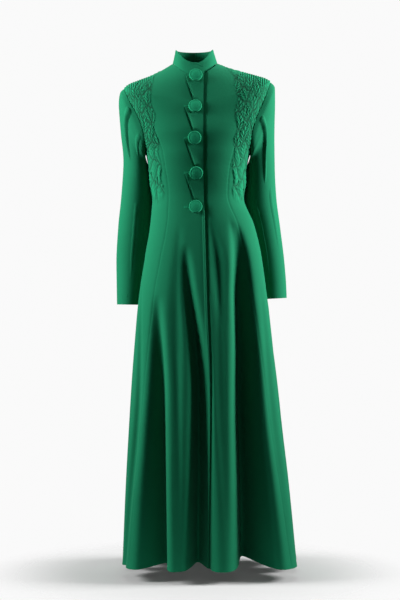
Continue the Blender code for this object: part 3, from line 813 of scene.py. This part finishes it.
# Each fold: first row, last row, turn at each, depth (minus is a ridge), width.
SLEEVE_FOLDS = {
    1: ((0.5, 4.6, 104, 108, 0.0095, 7), (0.4, 8.7, 76, 100, -0.0060, 9),
        (0.4, 4.8, 122, 128, -0.0045, 9), (3.6, 7.2, 130, 134, 0.0038, 11),
        (4.2, 8.8, 82, 68, 0.0035, 11), (0.6, 4.0, 262, 258, 0.0050, 12),
        (0.6, 7.5, 232, 246, -0.0035, 14), (3.8, 6.4, 300, 292, 0.0030, 12)),
    -1: ((0.4, 4.0, 122, 118, 0.0095, 7), (0.4, 5.2, 100, 92, -0.0060, 8),
         (0.5, 3.4, 76, 74, 0.0050, 9), (3.4, 8.6, 132, 124, -0.0035, 12),
         (4.0, 8.6, 92, 88, 0.0030, 11), (0.6, 4.2, 255, 262, 0.0050, 12),
         (0.6, 7.2, 228, 238, -0.0035, 14), (3.9, 6.2, 296, 300, 0.0030, 12)),
}
# Each tuck: turn, height in rows, slant in degrees a row, depth.
CUFF_TUCKS = {1: ((118, 8.5, 10, 0.0012), (150, 8.6, -8, 0.0010)),
              -1: ((96, 8.2, 16, 0.0022), (118, 8.25, 10, 0.0024),
                   (140, 8.3, 6, 0.0020))}
ELBOW_CREASES = ((4.55, 62, 0.0018), (4.95, 48, 0.0022), (5.35, 60, 0.0015))
CREASE_SPREAD = 30.0
CREASE_WIDTH = 0.13
TUCK_WIDTH = 5.5
UNDER_SLEEVE = 54.0
SLEEVE_HEAD = 3.2
ARM_RADIUS = 0.05
HEAD_OUT = SEAM
TURNED_IN = 0.002
CUFF_TURNED = 0.45
CUFF_STITCH = 0.0007
CUFF_ROLL = 0.0006
ROWS_PER_METRE = 14
SLEEVE_ROWS = 130


def armhole_point(sign, turn):
    """The armhole's edge: turn 0 is under the arm and 180 the shoulder tip."""
    level = armhole_level(turn)
    edge = ARMHOLE_SPREAD * abs(np.sin(np.radians(turn)))
    ahead = np.where(np.sin(np.radians(turn)) >= 0, -1, 1)
    return body_point(sign * (90 + ahead * edge), level)


def sleeve_surface(sign, table):
    """The sleeve's outer surface, by the turn round it and the row down it."""
    rows = {name: curve([(place, row[number]) for place, row in enumerate(table)])
            for number, name in enumerate(SLEEVE_COLUMNS)}

    def ring(turn, row):
        inside = np.stack((sign * rows["in_x"](row), rows["y"](row),
                           rows["in_z"](row)), axis=-1)
        outside = np.stack((sign * rows["out_x"](row), rows["y"](row),
                            rows["out_z"](row)), axis=-1)
        middle = (inside + outside) / 2
        angle = np.radians(turn)
        depth = rows["depth"](row) * np.sin(angle)
        forward = np.stack((0 * depth, -depth, 0 * depth), axis=-1)
        return middle + np.cos(angle)[..., None] * (inside - middle) + forward

    def surface(turn, row):
        turn, row = np.broadcast_arrays(np.asarray(turn, float), row)
        point = ring(turn, row)
        start = armhole_point(sign, turn) - ring(turn, 0 * row)
        return point + start * (1 - ease(row / SLEEVE_HEAD))[..., None]
    return surface


def sleeve_sink(sign, turn, row):
    """How far folds, creases and tucks press the sleeve's face in."""
    sink = np.zeros(turn.shape)
    for first, last, high, low, depth, width in SLEEVE_FOLDS[sign]:
        part = np.clip((row - first) / (last - first), 0, 1)
        place = high + (low - high) * part
        strength = np.sin(np.pi * part) ** 0.7
        near = (turn - place + 180) % 360 - 180
        sink = sink + depth * strength * bell(near, width)
    for height, place, depth in ELBOW_CREASES:
        slack = bell(turn - place, CREASE_SPREAD)
        crease = bell(row - height - (turn - place) / 180, CREASE_WIDTH)
        sink = sink + depth * slack * crease
    for place, height, slant, depth in CUFF_TUCKS[sign]:
        tuck = bell(turn - place - slant * (row - height), TUCK_WIDTH)
        sink = sink + depth * tuck * ease((row - height) / 0.3)
    return sink


def sleeve_piece(name, sign, table, first, last, count):
    surface = sleeve_surface(sign, table)
    end = len(table) - 1.0
    rows = end * np.linspace(0, 1, SLEEVE_ROWS + 1) ** 0.9
    turns, places = np.meshgrid(np.linspace(first, last, count + 1), rows)
    gap = np.degrees(SEAM / ARM_RADIUS) * (1 + 2 * np.maximum(1 - places, 0))
    turns = np.clip(turns, first + gap, last - gap)
    outer = surface(turns, places)
    around = surface(turns + 0.5, places) - surface(turns - 0.5, places)
    low, high = np.maximum(places - 0.02, 0), places + 0.02
    down = surface(turns, high) - surface(turns, low)
    normals = unit(np.cross(around, down)) * sign
    hole = armhole_point(sign, np.linspace(0, 360, 73)[:-1]).mean(axis=0)
    inward = unit(hole - outer[0])
    outward = np.array((sign, 0.0, 0.0))
    normals[0] = normals[1]
    for clear in (outward, inward):
        over = np.maximum((normals[0] * clear).sum(axis=-1, keepdims=True), 0)
        normals[0] = unit(normals[0] - over * clear)
    outer = outer + HEAD_OUT * (1 - ease(places / 0.3))[..., None] * inward
    turned_in = outer[:1] + TURNED_IN * inward - 2 * TURNED_IN * outward
    outer = np.concatenate((turned_in, outer))
    normals = np.concatenate((normals[:1], normals))
    turns, places = (np.concatenate((net[:1], net)) for net in (turns, places))
    inner = outer - CLOTH * normals
    run = lengths_along(outer, 1)
    to_first, to_last = run, run[:, -1:] - run
    sink = sleeve_sink(sign, turns % 360, places) * ease(places / 0.8)
    fallen = places / ROWS_PER_METRE
    sink = sink + seam_dip(to_first, fallen) + seam_dip(to_last, fallen)
    turned = CUFF_STITCH * bell(places - end + CUFF_TURNED, 0.05)
    sink = sink + turned - CUFF_ROLL * bell(places - end + 0.06, 0.10)
    outer = outer - sink[..., None] * normals
    cloth_piece("cloth_" + name, outer, inner, name)


for wearer, sign, table in (("right", -1, RIGHT_SLEEVE), ("left", 1, LEFT_SLEEVE)):
    sleeve_piece("sleeve_under_" + wearer, sign, table, -UNDER_SLEEVE,
                 UNDER_SLEEVE, 34)
    sleeve_piece("sleeve_upper_" + wearer, sign, table, UNDER_SLEEVE,
                 360 - UNDER_SLEEVE, 92)


# %% [markdown]
# The stand collar
#
# The collar is one strip round the neck. Its right end lies over the left and is
# rounded off, and its top edge drops towards the front, so the two ends make a
# small V. The seam at its foot sinks as the other seams do, and the top edge is
# turned over, a little thicker.

# %% Fold the collar round the neck
COLLAR_RINGS = (
    (-0.0335, 0.0065, 0.0075, 0.0130, -0.0705, 0.0600, -0.0675, 0.0575, 2.1),
    (-0.0210, 0.0190, 0.0200, 0.0240, -0.0670, 0.0560, -0.0650, 0.0545, 2.1),
    (0.0020, 0.0460, 0.0475, 0.0465, -0.0613, 0.0470, -0.0570, 0.0480, 2.1),
)
COLLAR_OVER = 0.0212
COLLAR_BELOW = -0.0220
COLLAR_COLUMNS = 180
COLLAR_ROWS = 18
COLLAR_TUCK = (-250.0, 60.0)
ROUNDED_FROM = 0.0
ROUNDED_RUN = 24.0
ROUNDED_DROP = 0.46
COLLAR_ROLL = 0.0007
COLLAR = columns(COLLAR_RINGS, RING_COLUMNS)


def collar_point(angle, level):
    angle, level = np.broadcast_arrays(np.asarray(angle, float), level)
    return ring_point(COLLAR, angle, level)


bottom, top = COLLAR_RINGS[0][0], COLLAR_RINGS[-1][0]
heights = np.linspace(bottom, top, COLLAR_ROWS + 1)
over = angle_at(collar_point, COLLAR_OVER, heights)
below = angle_at(collar_point, COLLAR_BELOW, heights) - 360
angles = across(below, over, COLLAR_COLUMNS)
levels = np.repeat(heights[:, None], COLLAR_COLUMNS + 1, axis=1)
rounding = ease((angles - ROUNDED_FROM) / ROUNDED_RUN)
levels = bottom + (levels - bottom) * (1 - ROUNDED_DROP * rounding ** 2)
normals = normal_of(collar_point, angles, levels)
tucked = LAP * ease((COLLAR_TUCK[0] - angles) / COLLAR_TUCK[1])
outer = collar_point(angles, levels) - tucked[..., None] * normals
inner = outer - CLOTH * normals
share = np.linspace(0, 1, COLLAR_ROWS + 1)[:, None]
dips = 0.0005 * np.sin(np.radians(angles) * 7 + 1.0) * np.sin(np.pi * share)
raised = dips + COLLAR_ROLL * bell(share - 0.93, 0.07)
raised = raised - SEAM_SINK * ease(1 - share / 0.12)
outer = outer + raised[..., None] * normals
cloth_piece("cloth_collar", outer, inner, "collar")


# %% [markdown]
# Pointed flaps
#
# Between each pair of buttons a pointed flap lies on the right front. It starts
# at a buttonhole and its free edge runs down to the next button. That edge
# stands off the front a little, more between the middle buttons, and throws the
# strong slanting shadows, helped by shade painted on the front beside it. Beside
# a button the flap is held flat.

# %% Lay the flaps
FLAP_OUT = 0.0007
FLAP_INSET = 0.0012
FLAP_ROLL = 0.0006
FLAT_PAST_BUTTON = 0.0005
FLAT_RUN = 0.008
FLAP_ROWS = 40
FLAP_COLUMNS = 26

for number, lift in enumerate(FLAP_LIFT):
    low, high = flap_edge(number, 0)[2:]
    heights = np.linspace(low, high, FLAP_ROWS + 1)
    part, start = flap_edge(number, heights)[:2]
    first = angle_at(body_point, start, heights)
    last = angle_at(body_point, closing_x(heights) - FLAP_INSET, heights)
    angles = across(first, last, FLAP_COLUMNS)
    levels = np.repeat(heights[:, None], FLAP_COLUMNS + 1, axis=1)
    normals = normal_of(body_point, angles, levels)
    share = np.linspace(0, 1, FLAP_COLUMNS + 1)[None]
    off = lift * (1 - share) ** 2 * flap_swell(part[:, None])
    front = body_point(angles, levels)
    for button in (number, number + 1):
        from_middle = np.hypot(front[..., 0] - BUTTON_X[button],
                               levels - BUTTON_HEIGHTS[button])
        past = from_middle - BUTTON_RADIUS - FLAT_PAST_BUTTON
        off = off * ease(past / FLAT_RUN)
    rolled = FLAP_ROLL * bell(share - 0.06, 0.05) * (off > FLAP_ROLL)
    inner = front + (FLAP_OUT + off)[..., None] * normals
    outer = inner + (FLAP_CLOTH + rolled)[..., None] * normals
    cloth_piece("cloth_flap_%d" % (number + 1), outer, inner,
                "flap_%d" % (number + 1))


# %% [markdown]
# Covered buttons
#
# A covered button is a metal or wooden form with a disc of the coat's cloth
# stretched over it. The cloth rounds over the rim and lies almost flat on top.
# One button is modelled from a cylinder: insets make rings on its top face,
# each ring is moved up or down, and a subdivision rounds it. The other four are
# copies, each with its own mesh, turned to face as the front does.

# %% Model one button
BUTTON_THICK = 0.0085
BUTTON_OUT = (0.0027, 0.0025, 0.0025, 0.0026, 0.0030)
# Each ring of the top: how far in, as a share of the radius, and how far up, as
# a share of the thickness.
BUTTON_RINGS = ((0.09, 0.10), (0.08, 0.01), (0.05, -0.035), (0.16, 0.09),
                (0.26, 0.10), (0.20, 0.02))


def place_on_front(x, height, out):
    """The place and the turn of a small thing that faces as the front does."""
    level = np.array(height)
    angle = angle_at(body_point, x, level)
    normal = Vector(normal_of(body_point, angle, level))
    seat = Vector(body_point(angle, level)) + out * normal
    side = Vector((0, 0, 1)).cross(normal).normalized()
    turned = Matrix((side, normal.cross(side), normal)).transposed().to_4x4()
    return Matrix.Translation(seat) @ turned


def select_faces(mesh_object, test):
    """Selects the faces whose middle and normal pass a test."""
    bpy.ops.object.mode_set(mode="EDIT")
    bpy.ops.mesh.select_all(action="DESELECT")
    bpy.ops.object.mode_set(mode="OBJECT")
    for face in mesh_object.data.polygons:
        face.select = test(face.center, face.normal)
    bpy.ops.object.mode_set(mode="EDIT")


bpy.ops.object.select_all(action="DESELECT")
bpy.ops.mesh.primitive_cylinder_add(vertices=48, radius=BUTTON_RADIUS,
                                    depth=BUTTON_THICK * 0.72,
                                    location=(0, 0, BUTTON_THICK * 0.36))
button = bpy.context.object
bpy.ops.object.transform_apply(location=True)
select_faces(button, lambda middle, normal: normal.z > 0.9)
bpy.ops.mesh.select_mode(type="FACE")
for inward, up in BUTTON_RINGS:
    bpy.ops.mesh.inset(thickness=BUTTON_RADIUS * inward)
    bpy.ops.transform.translate(value=(0, 0, BUTTON_THICK * up))
bpy.ops.mesh.poke()
bpy.ops.object.mode_set(mode="OBJECT")
select_faces(button, lambda middle, normal: normal.z < -0.9)
bpy.ops.mesh.inset(thickness=BUTTON_RADIUS * 0.12)
bpy.ops.mesh.poke()
bpy.ops.object.mode_set(mode="OBJECT")
rounded = button.modifiers.new("rounded", "SUBSURF")
rounded.levels = 1
rounded.render_levels = 1
bpy.ops.object.modifier_apply(modifier="rounded")
print("button:", len(button.data.polygons), "faces,", button.dimensions.z, "m high")

# %% Set the five buttons on the front
for number, height in enumerate(BUTTON_HEIGHTS):
    mesh = button.data.copy()
    mesh.name = "covered_button_%d" % (number + 1)
    spots = np.empty(len(mesh.vertices) * 3)
    mesh.vertices.foreach_get("co", spots)
    spots = spots.reshape(-1, 3)
    corners = np.empty(len(mesh.loops), int)
    mesh.loops.foreach_get("vertex_index", corners)
    flat = spots[:, :2] * (1 + 0.6 * abs(spots[:, 2:]) / BUTTON_RADIUS)
    while mesh.uv_layers:
        mesh.uv_layers.remove(mesh.uv_layers[0])
    layer = mesh.uv_layers.new(name="grain")
    layer.data.foreach_set("uv", flat[corners].reshape(-1))
    mesh.transform(place_on_front(BUTTON_X[number], height, BUTTON_OUT[number]))
    # Painted highlight: the buttons wear a paler copy of the coat's cloth.
    finish_piece(mesh.name, mesh, PAINTED_HIGHLIGHT_WOOL, "covered_button",
                 "button_%d" % (number + 1))
bpy.data.objects.remove(button)
print("buttons at", BUTTON_HEIGHTS)


# %% [markdown]
# Bound buttonholes
#
# Each button passes a slit that is bound with two thin lips of the same cloth.
# Only the outer end shows, to the left of the button. One lip is a small bar,
# rounded by a subdivision, and each of the four lower buttonholes is two of them
# with a gap between.

# %% Model a lip and bind the slits
LIP_LENGTH = 0.017
LIP_HEIGHT = 0.0021
LIP_THICK = 0.0016
LIP_APART = 0.0033
LIP_MIDDLE = -0.0285
LIP_OUT = 0.0006

bpy.ops.object.select_all(action="DESELECT")
bpy.ops.mesh.primitive_cube_add(size=1)
lip = bpy.context.object
lip.scale = (LIP_LENGTH, LIP_HEIGHT, LIP_THICK)
bpy.ops.object.transform_apply(scale=True)
bpy.ops.object.mode_set(mode="EDIT")
bpy.ops.mesh.select_all(action="SELECT")
bpy.ops.mesh.subdivide(number_cuts=2)
bpy.ops.object.mode_set(mode="OBJECT")
softened = lip.modifiers.new("softened", "SUBSURF")
softened.levels = 2
softened.render_levels = 2
bpy.ops.object.modifier_apply(modifier="softened")
for number, height in enumerate(BUTTON_HEIGHTS[1:], 2):
    for part, above in (("upper", 1), ("lower", -1)):
        middle = height + above * LIP_APART / 2
        mesh = lip.data.copy()
        mesh.uv_layers[0].name = "grain"
        mesh.transform(place_on_front(LIP_MIDDLE, middle, LIP_OUT))
        # Painted highlight: the lips wear the same paler copy of the cloth.
        finish_piece("buttonhole_%d_%s" % (number, part), mesh, PAINTED_HIGHLIGHT_WOOL,
                     "green_wool")
bpy.data.objects.remove(lip)
print("pieces so far:", len(MADE))


# %% [markdown]
# The floor and the light
#
# The coat stands in a white studio. A wide pale floor fades into the white
# behind it, so no line shows. Two large soft lamps stand left and right, a
# little in front, and leave the middle of the coat and its deep folds darker. A
# weak lamp in front keeps the shadows open. A lamp overhead whitens the floor, and
# its shadow lies right under the hem.

# %% Lay the floor
FLOOR = -1.458
FLOOR_SIZE = 24.0
FLOOR_FADE = (0.30, 0.66)
FLOOR_WHITE = (0.60, 0.60, 0.60, 1.0)

bpy.ops.object.select_all(action="DESELECT")
bpy.ops.mesh.primitive_circle_add(vertices=96, radius=FLOOR_SIZE / 2,
                                  fill_type="NGON", location=(0, 0, FLOOR))
floor = bpy.context.object
floor.name = "floor"
bpy.ops.object.transform_apply(location=True)
paper = bpy.data.materials.new("white_paper")
paper.use_nodes = True
nodes, links = paper.node_tree.nodes, paper.node_tree.links
shader = nodes["Principled BSDF"]
fill(shader, {"Base Color": FLOOR_WHITE, "Roughness": 0.8,
              "Emission Color": (1, 1, 1, 1), "Emission Strength": 0.01})
places = nodes.new("ShaderNodeTexCoord")
far = nodes.new("ShaderNodeVectorMath")
far.operation = "LENGTH"
level_out = nodes.new("ShaderNodeVectorMath")
level_out.operation = "MULTIPLY"
level_out.inputs[1].default_value = (1.0, 1.0, 0.0)
links.new(places.outputs["Object"], level_out.inputs[0])
links.new(level_out.outputs["Vector"], far.inputs[0])
fade = nodes.new("ShaderNodeMapRange")
fade.interpolation_type = "SMOOTHSTEP"
fill(fade, {"From Min": FLOOR_FADE[0], "From Max": FLOOR_FADE[1],
            "To Min": 0.96, "To Max": 0.0})
links.new(far.outputs["Value"], fade.inputs["Value"])
links.new(fade.outputs["Result"], shader.inputs["Alpha"])
floor.data.materials.append(paper)
print("floor at", FLOOR)

# %% Hang the lamps
LAMPS = {
    "lamp_left": ((-2.3, -0.38, 0.30), 1.0, 1.2, 40.0),
    "lamp_right": ((2.3, -0.06, 0.20), 1.0, 1.2, 47.0),
    "lamp_front": ((0.2, -4.2, 1.6), 1.4, 1.2, 3.2),
    "lamp_top": ((0.0, 0.30, 2.9), 1.2, 1.2, 17.0),
}
LAMP_AIM = Vector((0.0, 0.0, -0.20))
LAMP_SPREAD = np.radians(100)

for name, (place, wide, tall, power) in LAMPS.items():
    bpy.ops.object.light_add(type="AREA", location=place)
    lamp = bpy.context.object
    lamp.name = name
    lamp.data.shape = "RECTANGLE"
    lamp.data.size, lamp.data.size_y = wide, tall
    lamp.data.energy = power
    lamp.data.spread = LAMP_SPREAD
    aim = LAMP_AIM - Vector(place)
    lamp.rotation_euler = aim.to_track_quat("-Z", "Y").to_euler()
    print(name, power, "W")

# %% Paint the white surroundings
SKY_SEEN = 0.955
SKY_LIGHT = 0.008

world = bpy.data.worlds.new("white_studio")
bpy.context.scene.world = world
world.use_nodes = True
nodes, links = world.node_tree.nodes, world.node_tree.links
glow = nodes["Background"]
glow.inputs["Color"].default_value = (1, 1, 1, 1)
path = nodes.new("ShaderNodeLightPath")
level = nodes.new("ShaderNodeMapRange")
level.inputs["To Min"].default_value = SKY_LIGHT
level.inputs["To Max"].default_value = SKY_SEEN
links.new(path.outputs["Is Camera Ray"], level.inputs["Value"])
links.new(level.outputs["Result"], glow.inputs["Strength"])
bpy.context.scene.view_settings.view_transform = "Standard"
print("white seen:", SKY_SEEN, "white light:", SKY_LIGHT)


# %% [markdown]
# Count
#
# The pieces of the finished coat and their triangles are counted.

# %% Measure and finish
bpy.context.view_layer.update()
triangles = sum(len(face.vertices) - 2 for piece in MADE.values()
                for face in piece.data.polygons)
print("pieces:", len(MADE), "triangles:", triangles)
